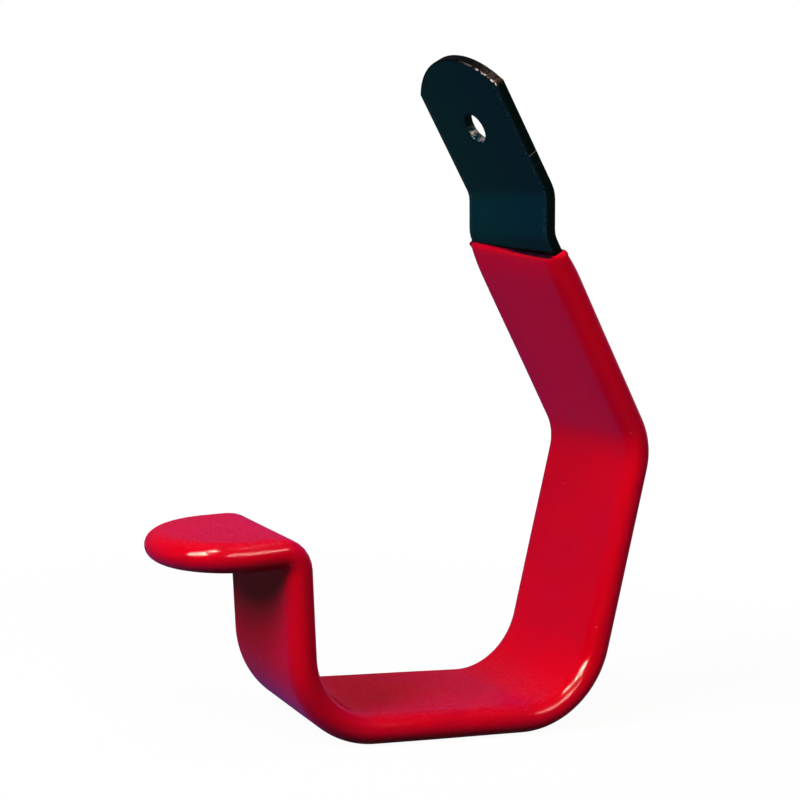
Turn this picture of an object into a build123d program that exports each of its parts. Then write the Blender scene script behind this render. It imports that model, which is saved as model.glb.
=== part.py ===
"""Wall-mounted holder for a backpack blower: a flat steel bar bent six times, its hook dipped in thick vinyl.

Millimetres. The origin is the centre of the bolt hole on the tab's back face. +Z is up with the cradle level,
+X runs across the bar, and the lip points to -Y.
"""

from build123d import *
import os
from math import atan2, cos, degrees, radians, sin, sqrt

# Flat bar stock
bar_width = 50.8
bar_thickness = 3.4

# Tab with its sheared end and its bolt hole
tab_length = 51.4
tab_end_radius = 34.5
hole_diameter = 10.4
hole_from_end = 25.6

# Legs of the bar below the tab, from corner to corner of the centreline
joggle_length = 14.3
upper_arm_length = 82.9
lower_arm_length = 97.2
cradle_length = 105.7
upturn_length = 59.4
lip_length = 38.8

# Lean of each leg in degrees, from straight down towards +Y
tab_angle = 35.8
joggle_angle = 6.2
upper_arm_angle = 34.2
lower_arm_angle = -8.0
cradle_angle = -90.0
upturn_angle = -172.0
lip_angle = -84.9

# Inside radii of the bends in the steel
joggle_top_radius = 7.2
joggle_foot_radius = 6.5
knee_radius = 19.3
heel_radius = 26.7
toe_radius = 26.5
lip_bend_radius = 4.6

# Dipped vinyl: its wall, how far in its edges curve and the share of its half thickness that rounds their nose,
# and the slanted line that it was dipped to
coat_on_faces = 2.85
coat_on_edges = 1.6
coat_edge_reach = 6.0
coat_nose_share = 0.88
dip_line = 4.3
dip_slant = 5.1
dip_rim_radius = 1.3


def heading(lean):
    """The unit vector down a leg that leans from straight down towards +Y."""
    return Vector(0, sin(radians(lean)), -cos(radians(lean)))


def square_to(point, lean):
    """The plane square to a leg, with its x across the bar."""
    return Plane(origin=point, x_dir=(1, 0, 0), z_dir=heading(lean))


def flat_on(point, lean):
    """The plane that a leg's width lies in, with its x across the bar and its y along the leg."""
    return Plane(origin=point, x_dir=(1, 0, 0), z_dir=heading(lean + 90))


# The centreline, from the tab's end down the arms, along the cradle and up to the lip
hole_centre = heading(tab_angle - 90) * (bar_thickness / 2)
tab_end = hole_centre - heading(tab_angle) * hole_from_end
joggle_top = tab_end + heading(tab_angle) * tab_length
joggle_foot = joggle_top + heading(joggle_angle) * joggle_length
knee = joggle_foot + heading(upper_arm_angle) * upper_arm_length
heel = knee + heading(lower_arm_angle) * lower_arm_length
toe = heel + heading(cradle_angle) * cradle_length
lip_bend = toe + heading(upturn_angle) * upturn_length
lip_centre = lip_bend + heading(lip_angle) * (lip_length - bar_width / 2)

joggle_top_bend = joggle_top_radius + bar_thickness / 2
joggle_foot_bend = joggle_foot_radius + bar_thickness / 2
hook_bends = [
    inside_radius + bar_thickness / 2
    for inside_radius in (knee_radius, heel_radius, toe_radius, lip_bend_radius)
]

tab_end_rise = tab_end_radius - sqrt(tab_end_radius**2 - (bar_width / 2) ** 2)
coat_width = bar_width + 2 * coat_on_edges
coat_thickness = bar_thickness + 2 * coat_on_faces
coat_flat = coat_width - 2 * coat_edge_reach

# Each edge of the coating is a wide arc from either face, met by a tighter one round the nose between them
nose_radius = coat_nose_share * coat_thickness / 2
nose_in = coat_edge_reach - nose_radius
shoulder_radius = (nose_in**2 + (coat_thickness / 2)**2 - nose_radius**2) / (coat_thickness - 2 * nose_radius)
shoulder_turn = degrees(atan2(nose_in, shoulder_radius - coat_thickness / 2))

tab_face = flat_on(Vector(0, 0, 0), tab_angle)
lip_face = flat_on(lip_centre, lip_angle)
lip_end_axis = Axis(lip_face.origin, lip_face.z_dir)
dip_point = joggle_foot + heading(upper_arm_angle) * dip_line
dip_face = flat_on(dip_point, upper_arm_angle).rotated((0, 0, dip_slant))

# Steel bar
with BuildPart() as steel_bar:
    with BuildLine(Plane.YZ):
        FilletPolyline(
            tab_end, joggle_top, joggle_foot, knee, heel, toe, lip_bend, lip_centre,
            radius=[joggle_top_bend, joggle_foot_bend, *hook_bends],
        )
    with BuildSketch(square_to(tab_end, tab_angle)):
        Rectangle(bar_width, bar_thickness)
    sweep()

    # The lip ends in a half round as wide as the bar
    with BuildSketch(square_to(lip_centre, lip_angle)):
        Rectangle(bar_width / 2, bar_thickness, align=(Align.MIN, Align.CENTER))
    revolve(axis=lip_end_axis, revolution_arc=180)

    # The tab's end is sheared to an arc flatter than a half round, so it meets the sides at slight corners
    with BuildSketch(tab_face):
        with Locations((0, -hole_from_end)):
            Rectangle(2 * bar_width, tab_end_rise, align=(Align.CENTER, Align.MIN))
        with Locations((0, tab_end_radius - hole_from_end)):
            Circle(tab_end_radius, mode=Mode.SUBTRACT)
    extrude(amount=2 * bar_thickness, both=True, mode=Mode.SUBTRACT)

    with Locations(tab_face.offset(bar_thickness)):
        Hole(hole_diameter / 2, depth=3 * bar_thickness)
steel_bar.part.label = "steel_bar"


def coat_outline():
    """The sketch of the coating's outside: a quarter of it is drawn, and mirrored both ways."""
    with BuildLine() as outline:
        face_half = Line((0, coat_thickness / 2), (coat_flat / 2, coat_thickness / 2))
        shoulder = JernArc(face_half @ 1, face_half % 1, shoulder_radius, -shoulder_turn)
        JernArc(shoulder @ 1, shoulder % 1, nose_radius, shoulder_turn - 90)
        mirror(about=Plane.XZ)
        mirror(about=Plane.YZ)
    make_face(outline.edges())


# Vinyl coating: a closed sleeve, rounded along both edges and round the lip's end
with BuildPart() as vinyl_coating:
    with BuildLine(Plane.YZ):
        FilletPolyline(
            joggle_top, joggle_foot, knee, heel, toe, lip_bend, lip_centre,
            radius=[joggle_foot_bend, *hook_bends],
        )
    with BuildSketch(square_to(joggle_top, joggle_angle)):
        coat_outline()
    sweep()

    with BuildSketch(square_to(lip_centre, lip_angle)):
        coat_outline()
        Rectangle(coat_width, coat_thickness, align=(Align.MAX, Align.CENTER), mode=Mode.SUBTRACT)
    revolve(axis=lip_end_axis, revolution_arc=180)

    # Nothing is coated above the dip line, and the rim there is rounded over
    with BuildSketch(dip_face):
        Rectangle(2 * coat_width, 2 * joggle_length, align=(Align.CENTER, Align.MAX))
    extrude(amount=2 * coat_thickness, both=True, mode=Mode.SUBTRACT)
    fillet(vinyl_coating.faces().sort_by_distance(dip_point)[0].edges(), dip_rim_radius)

    # The bar fills the sleeve from the dip line to the blind end
    add(steel_bar.part, mode=Mode.SUBTRACT)
vinyl_coating.part.label = "vinyl_coating"

os.makedirs("parts", exist_ok=True)
export_step(steel_bar.part, "parts/steel_bar.step")
export_step(vinyl_coating.part, "parts/vinyl_coating.step")
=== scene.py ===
"""Looks of a wall-mounted backpack blower holder: a black steel bar, bent six times and dipped in red vinyl.

Metres. The origin is the centre of the bolt hole on the tab's back face. +Z is up with the cradle level,
+X runs across the bar, and the lip points to -Y.
"""
from math import atan2, ceil, copysign, cos, pi, radians, sin, sqrt, tan

import bmesh
import bpy
from mathutils import Matrix, Vector, noise


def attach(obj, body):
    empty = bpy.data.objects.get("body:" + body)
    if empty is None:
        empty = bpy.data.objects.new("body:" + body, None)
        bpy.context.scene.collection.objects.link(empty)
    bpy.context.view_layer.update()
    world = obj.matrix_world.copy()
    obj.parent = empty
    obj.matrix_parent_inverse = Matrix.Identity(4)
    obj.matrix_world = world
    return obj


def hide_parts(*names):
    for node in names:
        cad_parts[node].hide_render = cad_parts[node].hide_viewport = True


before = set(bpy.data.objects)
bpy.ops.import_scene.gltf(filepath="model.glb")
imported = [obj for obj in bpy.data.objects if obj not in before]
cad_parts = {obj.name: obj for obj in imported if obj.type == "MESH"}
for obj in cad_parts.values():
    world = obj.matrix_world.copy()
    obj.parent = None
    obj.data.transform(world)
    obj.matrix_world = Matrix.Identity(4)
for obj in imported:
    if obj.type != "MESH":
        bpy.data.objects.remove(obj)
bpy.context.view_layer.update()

mm = 0.001

# Flat bar stock, its tab and its bolt hole
bar_half_width = 50.8 * mm / 2
bar_thickness = 3.4 * mm
tab_length = 51.4 * mm
tab_end_radius = 34.5 * mm
hole_radius = 5.2 * mm
hole_from_end = 25.6 * mm

# Legs of the bar, from corner to corner of its centreline, and their leans from straight down towards +Y
joggle_length = 14.3 * mm
upper_arm_length = 82.9 * mm
lower_arm_length = 97.2 * mm
cradle_length = 105.7 * mm
upturn_length = 59.4 * mm
lip_length = 38.8 * mm
tab_lean = 35.8
joggle_lean = 6.2
upper_arm_lean = 34.2
lower_arm_lean = -8.0
cradle_lean = -90.0
upturn_lean = -172.0
lip_lean = -84.9

# Bend radii on the centreline
joggle_top_bend = 8.9 * mm
joggle_foot_bend = 8.2 * mm
knee_bend = 21.0 * mm
heel_bend = 28.4 * mm
toe_bend = 28.2 * mm
lip_bend = 6.3 * mm

# The bar's rounded edges, and its end that the shear tore: a little at the front, and in gouges at the back
edge_rounding = 0.35 * mm
edge_rounding_from = 50
shear_roughness = 0.3 * mm
shear_grain = 1.3 * mm
shear_noise_start = Vector((3.1, 0, 0))
front_tear = 0.5
back_tear = 0.4
back_gouges = 2.2

# Dipped vinyl: its wall, how far in its edges curve and the share of its half thickness that rounds their nose
coat_on_faces = 3.25 * mm
coat_on_edges = 2.05 * mm
coat_edge_reach = 6.0 * mm
coat_nose_share = 0.88

# The slanted and slightly bowed line that it was dipped to, its thinner rim there, and the dip's slow waves
dip_line = 4.3 * mm
dip_slant = 5.1
dip_bow = 0.5 * mm
dip_rim_radius = 1.3 * mm
slant_fade = 25 * mm
rim_thinning = 1.2 * mm
rim_fade = 12 * mm
wave_length = 35 * mm
wave_height = 0.12 * mm

# Fineness of the meshes, in points of a circle, steps and lengths
tab_arc_points = 400
hole_points = 96
coat_outline_points = 96
lip_end_steps = 60
round_end_steps = 10
rim_steps = 6
least_bend_steps = 3
bar_step = 6 * mm
coat_step = 1.5 * mm
pocket_start = 6 * mm
pocket_step = 5 * mm
tip_share = 0.02
same_place = 0.01 * mm
merged_below = 0.002 * mm
smooth_steel_below = 30
smooth_vinyl_below = 45

coat_half_width = bar_half_width + coat_on_edges
coat_half_thickness = bar_thickness / 2 + coat_on_faces
coat_half_flat = coat_half_width - coat_edge_reach
nose_radius = coat_nose_share * coat_half_thickness
nose_in = coat_edge_reach - nose_radius
shoulder_radius = (
    (nose_in**2 + coat_half_thickness**2 - nose_radius**2) / (2 * (coat_half_thickness - nose_radius))
)
shoulder_drop = shoulder_radius - coat_half_thickness
nose_turn = atan2(shoulder_drop, nose_in)
across = Vector((1, 0, 0))


def heading(lean):
    """The unit vector down a leg that leans from straight down towards +Y."""
    return Vector((0, sin(radians(lean)), -cos(radians(lean))))


# Corners of the centreline, from the tab's end to the middle of the lip's round end
hole_centre = heading(tab_lean - 90) * (bar_thickness / 2)
tab_end = hole_centre - heading(tab_lean) * hole_from_end
joggle_top = tab_end + heading(tab_lean) * tab_length
joggle_foot = joggle_top + heading(joggle_lean) * joggle_length
knee = joggle_foot + heading(upper_arm_lean) * upper_arm_length
heel = knee + heading(lower_arm_lean) * lower_arm_length
toe = heel + heading(cradle_lean) * cradle_length
lip_corner = toe + heading(upturn_lean) * upturn_length
lip_centre = lip_corner + heading(lip_lean) * (lip_length - bar_half_width)
dip_point = joggle_foot + heading(upper_arm_lean) * dip_line
tab_arc_drop = tab_end_radius - hole_from_end

corners = [joggle_top, joggle_foot, knee, heel, toe, lip_corner]
bends = [joggle_top_bend, joggle_foot_bend, knee_bend, heel_bend, toe_bend, lip_bend]


# Modelling by hand
def begin(add, **settings):
    """Add a primitive and open it for editing, with nothing else selected."""
    bpy.ops.object.select_all(action="DESELECT")
    add(**settings)
    piece = bpy.context.object
    bpy.ops.object.transform_apply(location=True, rotation=True, scale=True)
    bpy.ops.object.mode_set(mode="EDIT")
    return piece


def pick(piece, kind, test):
    """Select the vertices, edges or faces whose middle passes a test, and nothing else."""
    bpy.ops.mesh.select_mode(type={"verts": "VERT", "edges": "EDGE", "faces": "FACE"}[kind])
    bpy.ops.mesh.select_all(action="DESELECT")
    shape = bmesh.from_edit_mesh(piece.data)
    for element in getattr(shape, kind):
        corners_of = [element] if kind == "verts" else element.verts
        middle = sum((corner.co for corner in corners_of), Vector()) / len(corners_of)
        if test(middle):
            element.select_set(True)
    shape.select_flush_mode()
    bmesh.update_edit_mesh(piece.data)


def pick_open_loop():
    """Select the edges that have a face on one side only."""
    bpy.ops.mesh.select_mode(type="EDGE")
    bpy.ops.mesh.select_all(action="DESELECT")
    bpy.ops.mesh.select_non_manifold(
        extend=False, use_wire=False, use_boundary=True, use_multi_face=False,
        use_non_contiguous=False, use_verts=False,
    )


def move_picked(piece, place):
    """Put each selected vertex where a function of its place says."""
    shape = bmesh.from_edit_mesh(piece.data)
    for corner in shape.verts:
        if corner.select:
            corner.co = place(corner.co)
    bmesh.update_edit_mesh(piece.data)


def draw_out(way=(0, 0, 0)):
    """Draw the selected section out by a way, or onto itself, to be moved next."""
    bpy.ops.mesh.extrude_edges_move(TRANSFORM_OT_translate={"value": way})


def run_straight(way, step):
    """Draw the selected section along a straight way, in equal steps of about the given size."""
    steps = max(1, ceil(way.length / step))
    for _ in range(steps):
        draw_out(way / steps)


def run_round(centre, turn, steps):
    """Draw the selected section round a bend. The operator turns clockwise about its axis."""
    bpy.ops.mesh.spin(steps=steps, angle=-turn, center=centre, axis=across, use_auto_merge=False)


def draw_along(points, radii, step):
    """Draw the selected section from the first point to the last, with a bend at each corner between."""
    here = points[0]
    for before, corner, after, radius in zip(points, points[1:], points[2:], radii):
        inwards = (corner - before).normalized()
        outwards = (after - corner).normalized()
        turn = atan2(inwards.cross(outwards).dot(across), inwards.dot(outwards))
        bend_start = corner - inwards * (radius * tan(abs(turn) / 2))
        centre = bend_start + across.cross(inwards) * (radius if turn > 0 else -radius)
        run_straight(bend_start - here, step)
        run_round(centre, turn, max(least_bend_steps, ceil(abs(turn) * radius / step)))
        here = corner + outwards * (radius * tan(abs(turn) / 2))
    run_straight(points[-1] - here, step)


def end_half_round():
    """Narrow the selected section, as wide as the bar, to a half round past the lip's centre, and close it."""
    turn = pi / 2 / round_end_steps
    reach, reached = 0.0, bar_half_width
    for count in range(1, round_end_steps + 1):
        advance = bar_half_width * sin(turn * count) - reach
        reach += advance
        width = bar_half_width * max(cos(turn * count), tip_share)
        draw_out(heading(lip_lean) * advance)
        bpy.ops.transform.resize(value=(width / reached, 1, 1), center_override=lip_centre)
        reached = width
    bpy.ops.mesh.edge_face_add()


def close_piece(piece, name, smooth_below):
    """Merge doubles, turn the faces outwards and shade the piece smooth where it turns less than an angle."""
    bpy.ops.mesh.select_all(action="SELECT")
    bpy.ops.mesh.remove_doubles(threshold=merged_below)
    bpy.ops.mesh.normals_make_consistent(inside=False)
    bpy.ops.object.mode_set(mode="OBJECT")
    piece.name = name
    piece.data.name = name
    bpy.ops.object.shade_smooth_by_angle(angle=radians(smooth_below))


# Steel bar
def make_steel_bar():
    """The bent bar: a tab sheared to an arc with its bolt hole, then the legs down to the lip."""
    tab_turn = (radians(tab_lean - 90), 0, 0)
    down_tab = heading(tab_lean)
    bar = begin(
        bpy.ops.mesh.primitive_circle_add, vertices=tab_arc_points, radius=tab_end_radius, fill_type="NOTHING",
        location=down_tab * tab_arc_drop, rotation=tab_turn,
    )

    # The circle of the sheared end, cut at the bar's sides and where the joggle starts
    joggle_start = joggle_top - down_tab * (joggle_top_bend * tan(radians(tab_lean - joggle_lean) / 2))
    side = across * bar_half_width
    for edge, outwards in ((side, across), (-side, -across), (joggle_start, down_tab)):
        bpy.ops.mesh.select_all(action="SELECT")
        bpy.ops.mesh.edge_face_add()
        bpy.ops.mesh.bisect(plane_co=edge, plane_no=outwards, clear_outer=True)
    bpy.ops.mesh.select_all(action="SELECT")
    bpy.ops.mesh.delete(type="ONLY_FACE")

    # The hole, and the bar's thickness
    bpy.ops.mesh.primitive_circle_add(
        vertices=hole_points, radius=hole_radius, fill_type="NOTHING", location=(0, 0, 0), rotation=tab_turn,
    )
    bpy.ops.mesh.select_all(action="SELECT")
    bpy.ops.mesh.fill(use_beauty=True)
    through = heading(tab_lean - 90) * bar_thickness
    bpy.ops.mesh.extrude_region_move(TRANSFORM_OT_translate={"value": through})
    pick(bar, "verts", lambda place: tab_arc_radius(place) > tab_end_radius - same_place and place.z > 0)
    move_picked(bar, lambda place: place + down_tab * shear_depth(place))

    # The legs, from the open lower end of the tab to the lip
    pick(bar, "faces", lambda middle: abs((middle - joggle_start).dot(down_tab)) < same_place)
    bpy.ops.mesh.delete(type="ONLY_FACE")
    pick_open_loop()
    draw_along([joggle_start, *corners, lip_centre], bends, bar_step)
    end_half_round()
    close_piece(bar, "steel_bar_finished", smooth_steel_below)
    round_edges(bar)
    return bar


def tab_arc_radius(place):
    """How far a place on the tab is from the axis of its sheared end."""
    return sqrt(place.x**2 + (place.dot(heading(tab_lean)) - tab_arc_drop)**2)


def shear_depth(place):
    """How far the shear tore the tab's end back at a place: most near +X, and most of all at the back."""
    spread = min(1.0, max(0.0, place.x / bar_half_width))
    torn = noise.noise(place / shear_grain + shear_noise_start)
    at_back = place.dot(heading(tab_lean - 90)) < bar_thickness / 2
    tear = back_tear + back_gouges * max(0.0, torn) if at_back else front_tear + front_tear * torn
    return shear_roughness * spread * tear


def round_edges(bar):
    """Round the bar's sharp edges, and apply it."""
    rounding = bar.modifiers.new("edge rounding", "BEVEL")
    rounding.width = edge_rounding
    rounding.segments = 2
    rounding.limit_method = "ANGLE"
    rounding.angle_limit = radians(edge_rounding_from)
    rounding.use_clamp_overlap = True
    bpy.ops.object.modifier_apply(modifier=rounding.name)


# Vinyl coating
def in_section(place, lean, origin):
    """A place as its distance across the bar, off the leg's middle plane, and down the leg."""
    offset = place - origin
    return offset.x, offset.dot(heading(lean + 90)), offset.dot(heading(lean))


def from_section(x, off, down, lean, origin):
    """The place at a distance across the bar, off the leg's middle plane, and down the leg."""
    return origin + across * x + heading(lean + 90) * off + heading(lean) * down


def edge_outline(place):
    """Move a point of a half circle to where the coating's edge, a shoulder or its nose, faces the same way."""
    x, off, down = in_section(place, lip_lean, lip_centre)
    turn = atan2(off, x)
    if abs(turn) < nose_turn:
        x, off = nose_in + nose_radius * cos(turn), nose_radius * sin(turn)
    else:
        x, off = shoulder_radius * cos(turn), shoulder_radius * sin(turn) - copysign(shoulder_drop, turn)
    return from_section(x, off, down, lip_lean, lip_centre)


def make_vinyl_coating():
    """A closed sleeve: its round lip end is spun, then its section is drawn along the legs to the dip line."""
    sleeve = begin(
        bpy.ops.mesh.primitive_circle_add, vertices=coat_outline_points, radius=coat_half_thickness,
        fill_type="NOTHING", location=lip_centre, rotation=(radians(lip_lean), 0, 0),
    )
    pick(sleeve, "verts", lambda place: place.x < -same_place)
    bpy.ops.mesh.delete(type="VERT")
    bpy.ops.mesh.select_all(action="SELECT")
    move_picked(sleeve, edge_outline)
    flat = across * coat_half_flat
    bpy.ops.transform.translate(value=flat)
    pick(sleeve, "verts", lambda place: place.x < coat_half_flat + same_place)
    bpy.ops.mesh.extrude_vertices_move(TRANSFORM_OT_translate={"value": -flat})
    pick(sleeve, "edges", lambda middle: abs(middle.x - coat_half_flat / 2) < same_place)
    bpy.ops.mesh.subdivide(number_cuts=ceil(coat_half_flat / coat_step) - 1)
    bpy.ops.mesh.select_all(action="SELECT")
    bpy.ops.mesh.spin(
        steps=lip_end_steps, angle=pi, center=lip_centre, axis=heading(lip_lean - 90), use_auto_merge=False,
    )
    bpy.ops.mesh.select_all(action="SELECT")
    bpy.ops.mesh.remove_doubles(threshold=merged_below)

    # Back along the legs, to just under the dip line
    pick_open_loop()
    rim_start = dip_point + heading(upper_arm_lean) * dip_rim_radius
    draw_along([lip_centre, *reversed(corners[2:]), rim_start], list(reversed(bends[2:])), coat_step)

    # The rim, rounded over, then drawn in to the bar
    drawn_in = 0.0
    for count in range(1, rim_steps + 1):
        turn = pi / 2 * count / rim_steps
        depth = dip_rim_radius * (1 - cos(turn))
        down = dip_rim_radius * (1 - sin(turn))
        draw_out()
        move_picked(sleeve, lambda place: shrink_section(place, depth - drawn_in, down))
        drawn_in = depth
    draw_out()
    move_picked(sleeve, lambda place: clamp_to_bar(place, 0.0))

    # The pocket that the bar fills, down to the lip's end
    draw_out()
    move_picked(sleeve, lambda place: clamp_to_bar(place, pocket_start))
    deep = dip_point + heading(upper_arm_lean) * pocket_start
    draw_along([deep, *corners[2:], lip_centre], bends[2:], pocket_step)
    end_half_round()
    close_piece(sleeve, "vinyl_coating_finished", smooth_vinyl_below)
    slant_rim(sleeve)
    wave_surface(sleeve)
    return sleeve


def shrink_section(place, depth, down):
    """Move a point of the coating's end section in, square to its outline, and to a distance down the arm."""
    x, off, _ = in_section(place, upper_arm_lean, dip_point)
    near_x = max(-coat_half_flat, min(coat_half_flat, x))
    reach = sqrt((x - near_x) ** 2 + off**2)
    keep = (reach - depth) / reach
    return from_section(near_x + (x - near_x) * keep, off * keep, down, upper_arm_lean, dip_point)


def clamp_to_bar(place, down):
    """Move a point of the coating's end section onto the bar, and to a distance down the arm."""
    x, off, _ = in_section(place, upper_arm_lean, dip_point)
    x = max(-bar_half_width, min(bar_half_width, x))
    off = max(-bar_thickness / 2, min(bar_thickness / 2, off))
    return from_section(x, off, down, upper_arm_lean, dip_point)


def slant_rim(sleeve):
    """Slant the dip line across the arm, let its middle sag, and thin the coating towards it."""
    for corner in sleeve.data.vertices:
        x, off, down = in_section(corner.co, upper_arm_lean, dip_point)
        if abs(off) < 2 * coat_half_thickness and down < slant_fade and corner.co.z > knee.z:
            share = 1 - max(0.0, down / slant_fade)
            share = share * share * (3 - 2 * share)
            sag = dip_bow * (1 - (x / coat_half_width)**2)
            corner.co += heading(upper_arm_lean) * ((x * tan(radians(dip_slant)) + sag) * share)
            thinner = rim_thinning * max(0.0, 1 - max(0.0, down) / rim_fade)**2
            if abs(off) > bar_thickness / 2 + thinner:
                corner.co -= heading(upper_arm_lean + 90) * copysign(thinner, off)


def wave_surface(sleeve):
    """The dip's slow waves, up to a fraction of a millimetre inwards."""
    clouds = bpy.data.textures.new("dip waves", "CLOUDS")
    clouds.noise_scale = wave_length
    clouds.noise_depth = 0
    waves = sleeve.modifiers.new("dip waves", "DISPLACE")
    waves.texture = clouds
    waves.texture_coords = "LOCAL"
    waves.mid_level = 1.0
    waves.strength = wave_height
    bpy.ops.object.modifier_apply(modifier=waves.name)


# Materials
class Recipe:
    """A new material with its shader, and short ways to add the nodes that feed it."""

    def __init__(self, name):
        self.material = bpy.data.materials.new(name)
        self.material.use_nodes = True
        self.tree = self.material.node_tree
        self.shader = self.tree.nodes["Principled BSDF"]
        self.place = self.new("TexCoord").outputs["Object"]

    def new(self, kind, **settings):
        """Add a node, with its settings."""
        node = self.tree.nodes.new("ShaderNode" + kind)
        for name, value in settings.items():
            setattr(node, name, value)
        return node

    def feed(self, socket, value):
        """Link a node's output to a socket, or set a plain value on it."""
        if isinstance(value, bpy.types.NodeSocket):
            self.tree.links.new(value, socket)
        else:
            socket.default_value = value

    def calc(self, operation, *values):
        """A number worked out from nodes' outputs and plain numbers."""
        node = self.new("Math", operation=operation)
        for socket, value in zip(node.inputs, values):
            self.feed(socket, value)
        return node.outputs[0]

    def plus(self, first, second):
        """The sum of two numbers or masks."""
        return self.calc("ADD", first, second)

    def minus(self, first, second):
        """The first number or mask less the second."""
        return self.calc("SUBTRACT", first, second)

    def times(self, *values):
        """The product of several numbers or masks."""
        product = values[0]
        for value in values[1:]:
            product = self.calc("MULTIPLY", product, value)
        return product

    def distance(self, first, second):
        """The distance that two offsets, square to each other, make."""
        return self.calc("SQRT", self.plus(self.times(first, first), self.times(second, second)))

    def along(self, way, origin=Vector()):
        """How far each place is from an origin, measured along a way."""
        node = self.new("VectorMath", operation="DOT_PRODUCT")
        self.feed(node.inputs[0], self.place)
        self.feed(node.inputs[1], way)
        return self.minus(node.outputs["Value"], way.dot(origin))

    def step(self, value, low, high):
        """A smooth rise from 0 at low to 1 at high, or a fall where low is above high."""
        node = self.new("MapRange", interpolation_type="SMOOTHSTEP")
        self.feed(node.inputs["Value"], value)
        falls = low > high
        self.feed(node.inputs["From Min"], min(low, high))
        self.feed(node.inputs["From Max"], max(low, high))
        self.feed(node.inputs["To Min"], float(falls))
        self.feed(node.inputs["To Max"], float(not falls))
        return node.outputs["Result"]

    def noise(self, size, detail, stretch=(1, 1, 1)):
        """Noise whose blobs are about a size across, longer along an axis with a small stretch."""
        spread = self.new("VectorMath", operation="MULTIPLY")
        self.feed(spread.inputs[0], self.place)
        self.feed(spread.inputs[1], stretch)
        node = self.new("TexNoise")
        self.feed(node.inputs["Vector"], spread.outputs[0])
        self.feed(node.inputs["Scale"], 1 / size)
        self.feed(node.inputs["Detail"], detail)
        return node.outputs["Fac"]

    def mix(self, factor, under, over):
        """A colour laid over another as far as a mask says, by the Mix node's sockets for colours."""
        node = self.new("Mix", data_type="RGBA")
        self.feed(node.inputs[0], factor)
        self.feed(node.inputs[6], under if isinstance(under, bpy.types.NodeSocket) else (*under, 1))
        self.feed(node.inputs[7], over if isinstance(over, bpy.types.NodeSocket) else (*over, 1))
        return node.outputs[2]

    def bump(self, height, depth):
        """Raise the surface by a height from 0 to 1, times a depth."""
        node = self.new("Bump")
        self.feed(node.inputs["Distance"], depth)
        self.feed(node.inputs["Height"], height)
        self.set(Normal=node.outputs[0], Coat_Normal=node.outputs[0])

    def set(self, **values):
        """Feed the shader's own sockets."""
        for name, value in values.items():
            self.feed(self.shader.inputs[name.replace("_", " ")], value)


def dip_distance(recipe, x):
    """How far below the dip line each place is."""
    down = recipe.along(heading(upper_arm_lean), dip_point)
    slanted = recipe.minus(down, recipe.times(x, tan(radians(dip_slant))))
    bow = recipe.times(x, x, dip_bow / coat_half_width**2)
    return recipe.plus(recipe.minus(slanted, dip_bow), bow)


# The vinyl's colours, and for each mask its size, its fade and its strength
vinyl_red = (0.61, 0.0, 0.009)
vinyl_warmer_red = (0.65, 0.0, 0.006)
red_shift_size = 28 * mm
red_shift_fade = (0.35, 0.65)
# Dust with a painted sheen, paler on what faces up
dust_and_sheen_colour = (0.62, 0.2, 0.3)
dust_and_sheen_facing_up = (0.6, 1.0)
dust_and_sheen_size = 1.2 * mm
dust_and_sheen_fade = (0.4, 0.7)
dust_and_sheen_strength = 0.06
speck_colour = (0.8, 0.42, 0.42)
speck_spacing = 7 * mm
speck_fade = (0.035, 0.02)
speck_chosen = (0.6, 0.62)
speck_strength = 0.5
# The rim band: partly thin vinyl over the black bar, partly painted shade where the vinyl meets it
rim_film_and_shade_colour = (0.02, 0.003, 0.0)
rim_film_and_shade_slope = 0.013
rim_film_and_shade_fade = (0.3 * mm, 0.0)
rim_film_and_shade_side_fade = (24.9 * mm, 24.2 * mm)
ripple_size = 5 * mm
ripple_height = 0.008 * mm
grain_size = 0.5 * mm
grain_share = 0.2
vinyl_roughness = 0.52
vinyl_roughness_shift = 0.16
vinyl_roughness_size = 9 * mm


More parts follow.
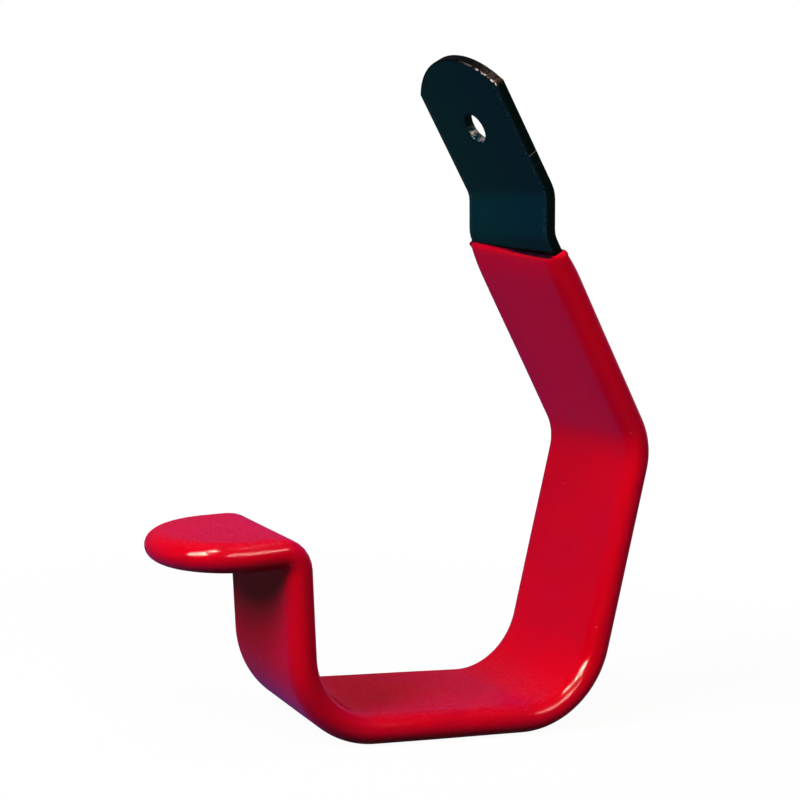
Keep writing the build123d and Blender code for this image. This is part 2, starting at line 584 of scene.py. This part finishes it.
def make_red_vinyl():
    """Glossy dipped vinyl: slow shifts of red, a dark rim band of thin film and painted shade, dust with a
    painted sheen, pale specks and a fine ripple.
    """
    recipe = Recipe("red_vinyl_dip")
    x = recipe.along(across)
    side = recipe.calc("ABSOLUTE", x)
    red_shift = recipe.step(recipe.noise(red_shift_size, detail=2.0), *red_shift_fade)
    red = recipe.mix(red_shift, vinyl_red, vinyl_warmer_red)

    # Dust with a painted sheen: a soft pale bloom on what faces up, and a few pale specks
    facing = recipe.new("SeparateXYZ")
    recipe.feed(facing.inputs[0], recipe.new("NewGeometry").outputs["Normal"])
    upwards = recipe.step(facing.outputs["Z"], *dust_and_sheen_facing_up)
    dust_and_sheen = recipe.times(upwards, recipe.step(recipe.noise(dust_and_sheen_size, detail=4.0), *dust_and_sheen_fade))
    red = recipe.mix(recipe.times(dust_and_sheen, dust_and_sheen_strength), red, dust_and_sheen_colour)
    cells = recipe.new("TexVoronoi")
    recipe.feed(cells.inputs["Scale"], 1 / speck_spacing)
    recipe.feed(cells.inputs["Vector"], recipe.place)
    chosen = recipe.new("SeparateColor")
    recipe.feed(chosen.inputs[0], cells.outputs["Color"])
    speck = recipe.step(cells.outputs["Distance"], *speck_fade)
    speck = recipe.times(speck, recipe.step(chosen.outputs["Red"], *speck_chosen))
    red = recipe.mix(recipe.times(speck, speck_strength), red, speck_colour)

    # A dark band at the rim on the broad faces: partly the thinning film letting the black show through, partly
    # painted shade where the vinyl meets the bar
    rim_film_and_shade_depth = recipe.minus(dip_distance(recipe, x), recipe.times(x, rim_film_and_shade_slope))
    rim_film_and_shade = recipe.times(recipe.step(rim_film_and_shade_depth, *rim_film_and_shade_fade), recipe.step(side, *rim_film_and_shade_side_fade))
    red = recipe.mix(rim_film_and_shade, red, rim_film_and_shade_colour)

    grain = recipe.times(recipe.noise(grain_size, detail=2.0), grain_share)
    recipe.bump(recipe.plus(recipe.noise(ripple_size, detail=1.0), grain), ripple_height)
    shift = recipe.times(recipe.noise(vinyl_roughness_size, detail=3.0), vinyl_roughness_shift)
    recipe.set(
        Base_Color=red, Roughness=recipe.plus(vinyl_roughness, shift), Specular_IOR_Level=0.0,
        Coat_Weight=0.035, Coat_Roughness=0.04,
        Sheen_Weight=0.18, Sheen_Roughness=0.5, Sheen_Tint=(0.15, 0.03, 1.0, 1),
    )
    return recipe.material


# The paint's colours, and for each mask its size, its fade and its strength
# Black paint with a painted teal reflection: greener towards -X, bluer towards +X, darker on the side edges
paint_and_reflection_far = (0.0, 0.026, 0.031)
paint_and_reflection_near = (0.0, 0.018, 0.032)
paint_and_reflection_on_sides = (0.001, 0.006, 0.006)
paint_and_reflection_shift_size = 22 * mm
paint_and_reflection_shift = 20 * mm
paint_and_reflection_shift_fade = (-20 * mm, 40 * mm)
paint_and_reflection_side_fade = (25.1 * mm, 25.35 * mm)
# Dark band above the dip line: partly vinyl film, partly painted shade of the corner
dip_band_film_and_shade_colour = (0.005, 0.0022, 0.0015)
dip_band_film_and_shade_slope = 0.03
dip_band_film_and_shade_wander = 0.8 * mm
dip_band_film_and_shade_wander_size = 4 * mm
dip_band_film_and_shade_fade = (-0.75 * mm, -0.25 * mm)
# Chips with painted glints beside the side edges
chip_and_glint_colour = (0.07, 0.085, 0.09)
chip_and_glint_size = 0.6 * mm
chip_and_glint_fade = (0.58, 0.64)
chip_and_glint_inner_fade = (22.3 * mm, 23.7 * mm)
chip_and_glint_outer_fade = (25.0 * mm, 24.2 * mm)
chip_and_glint_strength = 0.6
end_black = (0.0022, 0.003, 0.0032)
end_brown = (0.05, 0.028, 0.022)
end_upper_fade = (-11 * mm, -13 * mm)
end_arc_fade = (tab_end_radius - 0.75 * mm, tab_end_radius - 0.45 * mm)
end_near_fade = (13 * mm, 25 * mm)
end_grain_size = 0.9 * mm
end_grain_fade = (0.42, 0.66)
# Dull burrs, turning to painted glints towards +X
burr_dull = (0.13, 0.12, 0.115)
burr_painted_glint = (0.75, 0.66, 0.62)
burr_and_glint_size = 1.1 * mm
burr_and_glint_fade = (0.46, 0.58)
burr_and_glint_front_fade = (2.9 * mm, 3.2 * mm)
burr_and_glint_near_fade = (4 * mm, 19 * mm)
burr_painted_glint_fade = (16 * mm, 20 * mm)
bare_colour = (0.2, 0.185, 0.175)
bare_reach_fade = (hole_radius + 0.25 * mm, hole_radius + 0.1 * mm)
bare_low_fade = (-1.5 * mm, 1.5 * mm)
bare_size = 1.3 * mm
bare_stretch = (1, 0.45, 1)
bare_fade = (0.45, 0.6)
bare_strength = 0.8
scratch_colour = (0.13, 0.14, 0.14)
scratch_side_fade = (25.0 * mm, 25.3 * mm)
scratch_width_fade = (0.22 * mm, 0.1 * mm)
scratches = ((11.15 * mm, 0.1, 0.9), (15.2 * mm, 0.05, 0.12))
peel_size = 2.2 * mm
peel_share = 0.35
end_roughness_share = 3.0
paint_height = 0.08 * mm
paint_roughness = 0.4
paint_roughness_shift = 0.15
paint_roughness_size = 7 * mm
end_extra_roughness = 0.25


def make_black_paint():
    """Gloss black paint on steel with a painted teal reflection: orange peel, a rough brown sheared end with
    painted glints, worn edges with painted glints, scratches and a bare hole.
    """
    recipe = Recipe("black_gloss_paint")
    x = recipe.along(across)
    side = recipe.calc("ABSOLUTE", x)
    tab_down = recipe.along(heading(tab_lean))
    tab_off = recipe.along(heading(tab_lean - 90))
    # The black paint's colour holds a painted teal reflection, shifting across the bar and darker on its side
    # edges
    shifted = recipe.plus(x, recipe.times(recipe.noise(paint_and_reflection_shift_size, detail=2.0), paint_and_reflection_shift))
    colour = recipe.mix(recipe.step(shifted, *paint_and_reflection_shift_fade), paint_and_reflection_far, paint_and_reflection_near)
    colour = recipe.mix(recipe.step(side, *paint_and_reflection_side_fade), colour, paint_and_reflection_on_sides)

    # A dark band just above the dip line, wider towards +X: partly a film of vinyl, partly painted shade where
    # the vinyl meets the paint
    wander = recipe.times(recipe.noise(dip_band_film_and_shade_wander_size, detail=3.0), dip_band_film_and_shade_wander)
    reach = recipe.plus(recipe.times(x, dip_band_film_and_shade_slope), wander)
    dip_band_film_and_shade = recipe.step(recipe.plus(dip_distance(recipe, x), reach), *dip_band_film_and_shade_fade)
    colour = recipe.mix(dip_band_film_and_shade, colour, dip_band_film_and_shade_colour)

    # Fine chips with painted glints in a line beside the side edges
    in_line = recipe.times(recipe.step(side, *chip_and_glint_inner_fade), recipe.step(side, *chip_and_glint_outer_fade))
    chips_and_glints = recipe.times(in_line, recipe.step(recipe.noise(chip_and_glint_size, detail=1.0), *chip_and_glint_fade))
    colour = recipe.mix(recipe.times(chips_and_glints, chip_and_glint_strength), colour, chip_and_glint_colour)

    # The sheared end, brown-black and rough, with burrs on its front edge that turn to painted glints towards
    # +X
    arc_radius = recipe.distance(x, recipe.minus(tab_down, tab_arc_drop))
    end = recipe.times(recipe.step(tab_down, *end_upper_fade), recipe.step(arc_radius, *end_arc_fade))
    torn = recipe.noise(end_grain_size, detail=4.0)
    near_end = recipe.step(x, *end_near_fade)
    brown = recipe.times(near_end, recipe.step(torn, *end_grain_fade))
    colour = recipe.mix(end, colour, recipe.mix(brown, end_black, end_brown))
    front = recipe.times(end, recipe.step(tab_off, *burr_and_glint_front_fade), recipe.step(x, *burr_and_glint_near_fade))
    burr_and_glint = recipe.times(front, recipe.step(recipe.noise(burr_and_glint_size, detail=3.0), *burr_and_glint_fade))
    colour = recipe.mix(burr_and_glint, colour, recipe.mix(recipe.step(x, *burr_painted_glint_fade), burr_dull, burr_painted_glint))

    # The drilled hole, bare in streaks
    in_hole = recipe.step(recipe.distance(x, tab_down), *bare_reach_fade)
    streaks = recipe.step(recipe.noise(bare_size, detail=3.0, stretch=bare_stretch), *bare_fade)
    streaks = recipe.times(in_hole, streaks, recipe.step(tab_down, *bare_low_fade))
    colour = recipe.mix(recipe.times(streaks, bare_strength), colour, bare_colour)

    # Two scratches across the near side
    near_side = recipe.step(x, *scratch_side_fade)
    for scratch_down, slope, strength in scratches:
        line = recipe.minus(recipe.plus(scratch_down, recipe.times(tab_off, slope)), tab_down)
        scratch = recipe.step(recipe.calc("ABSOLUTE", line), *scratch_width_fade)
        colour = recipe.mix(recipe.times(near_side, scratch, strength), colour, scratch_colour)

    peel = recipe.times(recipe.noise(peel_size, detail=1.0), peel_share)
    recipe.bump(recipe.plus(peel, recipe.times(end, near_end, torn, end_roughness_share)), paint_height)
    shift = recipe.times(recipe.noise(paint_roughness_size, detail=3.0), paint_roughness_shift)
    rougher = recipe.times(end, end_extra_roughness)
    recipe.set(
        Base_Color=colour, Roughness=recipe.plus(recipe.plus(paint_roughness, shift), rougher),
        Specular_IOR_Level=0.0, Coat_Weight=0.025, Coat_Roughness=0.1,
    )
    return recipe.material


# Stage: floor, world, lamps and camera
white = (1, 1, 1, 1)
world_level = 0.02
floor_size = 40
floor_shade = 0.05
floor_glow = 0.955
floor_glow_fade = (0.15, 0.6)

aim_point = Vector((0, -20, -110)) * mm
lamp_distance = 1.2

camera_target = Vector((0, -22.13, -95.09)) * mm
camera_distance = 495.3 * mm
camera_azimuth = 61.87
camera_elevation = 4.61
camera_roll = 5.05
nearest_seen = 10 * mm
sensor_width = 36.0
focal_pixels = 1471.5
picture_pixels = 800


def show_as_white(tree):
    """A value that is 1 where the camera, a reflection or a refraction looks, and 0 for light on the object."""
    path = tree.nodes.new("ShaderNodeLightPath")
    seen = path.outputs["Is Camera Ray"]
    for kind in ("Is Glossy Ray", "Is Transmission Ray"):
        either = tree.nodes.new("ShaderNodeMath")
        either.operation = "MAXIMUM"
        tree.links.new(seen, either.inputs[0])
        tree.links.new(path.outputs[kind], either.inputs[1])
        seen = either.outputs[0]
    return seen


def make_world():
    """A world that looks white and lights the object a little."""
    world = bpy.data.worlds.new("white studio")
    world.use_nodes = True
    bpy.context.scene.world = world
    tree = world.node_tree
    background = tree.nodes["Background"]
    background.inputs["Color"].default_value = white
    mix = tree.nodes.new("ShaderNodeMix")
    tree.links.new(show_as_white(tree), mix.inputs["Factor"])
    mix.inputs["A"].default_value = world_level
    mix.inputs["B"].default_value = 1.0
    tree.links.new(mix.outputs["Result"], background.inputs["Strength"])


def make_floor():
    """A floor under the cradle that looks white, a little less so near the holder, and keeps its shadow."""
    bpy.ops.object.select_all(action="DESELECT")
    bpy.ops.mesh.primitive_plane_add(size=floor_size, location=(0, 0, heel.z - coat_half_thickness))
    floor = bpy.context.object
    floor.name = "floor"
    recipe = Recipe("pale_floor")
    away = recipe.new("VectorMath", operation="LENGTH")
    recipe.feed(away.inputs[0], recipe.place)
    far = recipe.step(away.outputs["Value"], *floor_glow_fade)
    glow = recipe.plus(floor_glow, recipe.times(far, 1 - floor_glow))
    recipe.set(
        Base_Color=(floor_shade, floor_shade, floor_shade, 1), Roughness=1.0, Specular_IOR_Level=0.0,
        Emission_Color=white, Emission_Strength=recipe.times(show_as_white(recipe.tree), glow),
    )
    floor.data.materials.append(recipe.material)


def add_lamp(name, azimuth, elevation, level, size, colour=(1, 1, 1), tilt=0, gloss_only=False):
    """An oval lamp round the holder. Its level is what it adds to a white face that is turned to it."""
    towards = direction(azimuth, elevation)
    light = bpy.data.lights.new(name, "AREA")
    light.shape = "ELLIPSE"
    light.size, light.size_y = size
    light.energy = level * (pi * lamp_distance) ** 2
    light.color = colour
    lamp = bpy.data.objects.new(name, light)
    bpy.context.scene.collection.objects.link(lamp)
    turn = (-towards).to_track_quat("-Z", "Y").to_matrix().to_4x4() @ Matrix.Rotation(radians(tilt), 4, "Z")
    lamp.matrix_world = Matrix.Translation(aim_point + towards * lamp_distance) @ turn
    lamp.visible_camera = False
    lamp.visible_diffuse = not gloss_only


def direction(azimuth, elevation):
    """The unit vector to an azimuth, measured from -Y towards +X, and an elevation, in degrees."""
    turn, rise = radians(azimuth), radians(elevation)
    return Vector((sin(turn) * cos(rise), -cos(turn) * cos(rise), sin(rise)))


def make_camera():
    """The photograph's viewpoint, solved from the outline of the holder."""
    roll = radians(camera_roll)
    towards_camera = direction(camera_azimuth, camera_elevation)
    level_right = direction(camera_azimuth + 90, 0)
    level_up = towards_camera.cross(level_right)
    right = level_right * cos(roll) + level_up * sin(roll)
    up = level_up * cos(roll) - level_right * sin(roll)
    data = bpy.data.cameras.new("camera")
    data.sensor_width = sensor_width
    data.sensor_fit = "HORIZONTAL"
    data.lens = sensor_width * focal_pixels / picture_pixels
    data.clip_start = nearest_seen
    camera = bpy.data.objects.new("camera", data)
    bpy.context.scene.collection.objects.link(camera)
    turn = Matrix((right, up, towards_camera)).transposed().to_4x4()
    camera.matrix_world = Matrix.Translation(camera_target + towards_camera * camera_distance) @ turn
    bpy.context.scene.camera = camera


steel_bar = make_steel_bar()
steel_bar.data.materials.append(make_black_paint())
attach(steel_bar, "root")
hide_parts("steel_bar")

vinyl_coating = make_vinyl_coating()
vinyl_coating.data.materials.append(make_red_vinyl())
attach(vinyl_coating, "root")
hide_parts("vinyl_coating")

make_floor()
make_world()

# Soft light, and lamps that only reflections see, which make the highlights
add_lamp("front softbox", azimuth=16, elevation=32, level=0.86, size=(0.5, 0.72), colour=(1, 1, 1.15))
add_lamp("side softbox", azimuth=76, elevation=50, level=0.48, size=(0.9, 0.5), colour=(1, 0.7, 0.3))
add_lamp("overhead softbox", azimuth=60, elevation=80, level=0.16, size=(1.0, 1.0), colour=(1, 1, 1.5))
add_lamp("back softbox", azimuth=200, elevation=5, level=0.3, size=(0.9, 0.7))
add_lamp(
    "front gloss", azimuth=19, elevation=30, level=36, size=(0.52, 0.66), colour=(1, 0.85, 0.65),
    gloss_only=True,
)
add_lamp(
    "side gloss", azimuth=90, elevation=41, level=22, size=(1.4, 0.48), colour=(1, 0.74, 0.66), tilt=20,
    gloss_only=True,
)
add_lamp(
    "overhead gloss", azimuth=16, elevation=63, level=12, size=(0.24, 0.3), colour=(1, 0.85, 0.65),
    gloss_only=True,
)
add_lamp("back gloss", azimuth=-143, elevation=77, level=0.8, size=(0.05, 0.95), gloss_only=True)
make_camera()

bpy.context.scene.view_settings.view_transform = "Standard"
